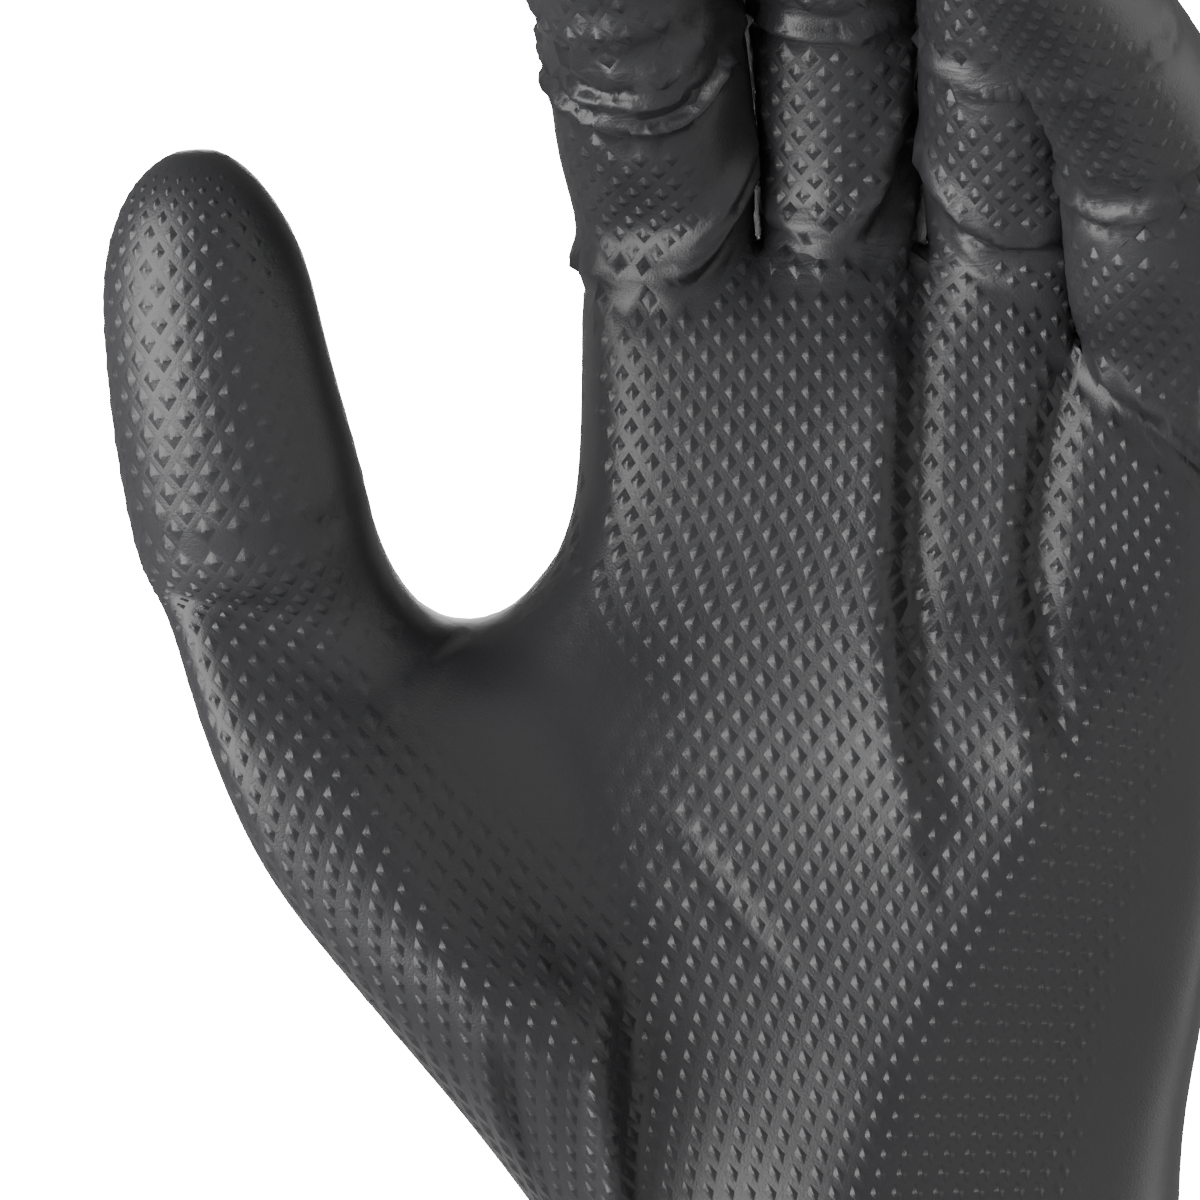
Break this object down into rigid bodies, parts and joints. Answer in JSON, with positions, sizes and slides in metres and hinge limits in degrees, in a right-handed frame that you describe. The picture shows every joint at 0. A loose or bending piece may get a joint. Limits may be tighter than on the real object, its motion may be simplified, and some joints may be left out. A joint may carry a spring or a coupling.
{
  "type": "disposable nitrile exam glove",
  "caption": "Thin dipped glove in its worn form for a left hand: open rolled cuff, cupped palm, upright thumb and curling fingers, raised diamond grip texture.",
  "frame": {"origin": "middle of the cuff's opening, at the lowest point of its rolled bead", "axes": "+Z from the cuff towards the fingers, -Y out of the palm, +X towards the little finger"},
  "size_m": [0.1199, 0.091, 0.2207],
  "materials": {
    "nitrile_film": "satin black nitrile film with raised diamond pyramids"
  },
  "bodies": {
    "root": {"glove": "nitrile_film"}
  },
  "joints": []
}
